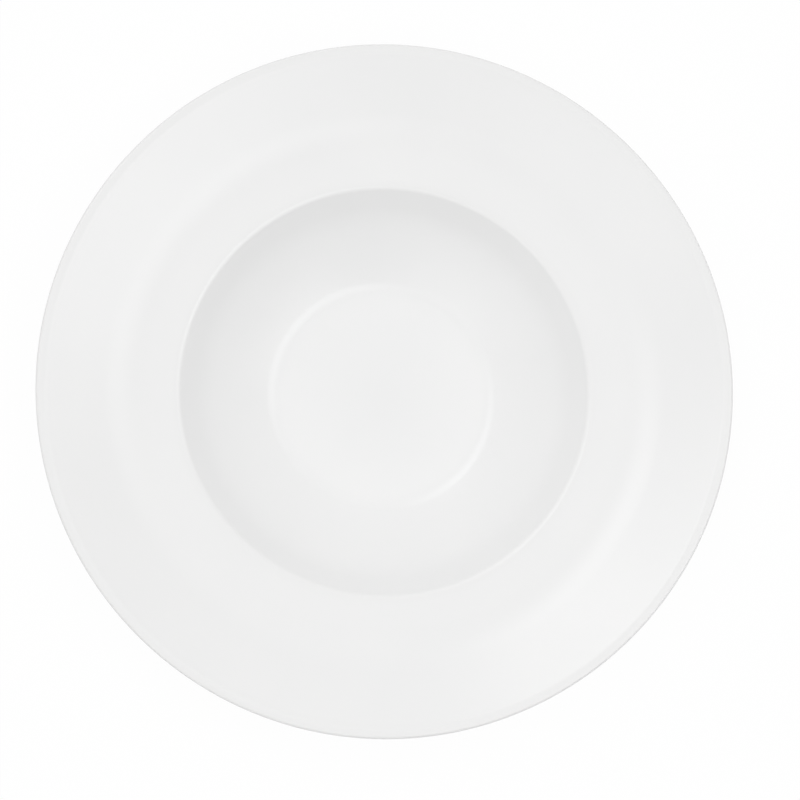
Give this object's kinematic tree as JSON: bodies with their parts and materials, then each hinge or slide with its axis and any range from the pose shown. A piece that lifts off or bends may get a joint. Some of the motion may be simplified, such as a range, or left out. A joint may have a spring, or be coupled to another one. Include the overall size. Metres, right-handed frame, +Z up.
{
  "type": "risotto plate",
  "caption": "Round white porcelain risotto plate with a wide rising rim, a level ledge and a dished well, on a foot ring.",
  "frame": {"origin": "on the plate's axis, in the plane that the foot ring stands on", "axes": "+Z up along the plate's axis; the plate is round, so X and Y are free"},
  "size_m": [0.3, 0.3, 0.0397],
  "materials": {
    "bare_porcelain": "matte, ground smooth",
    "white_glaze": "clear gloss over white"
  },
  "bodies": {
    "root": {"porcelain_body": "bare_porcelain", "face_glaze": "white_glaze", "foot_glaze": "white_glaze"}
  },
  "joints": []
}
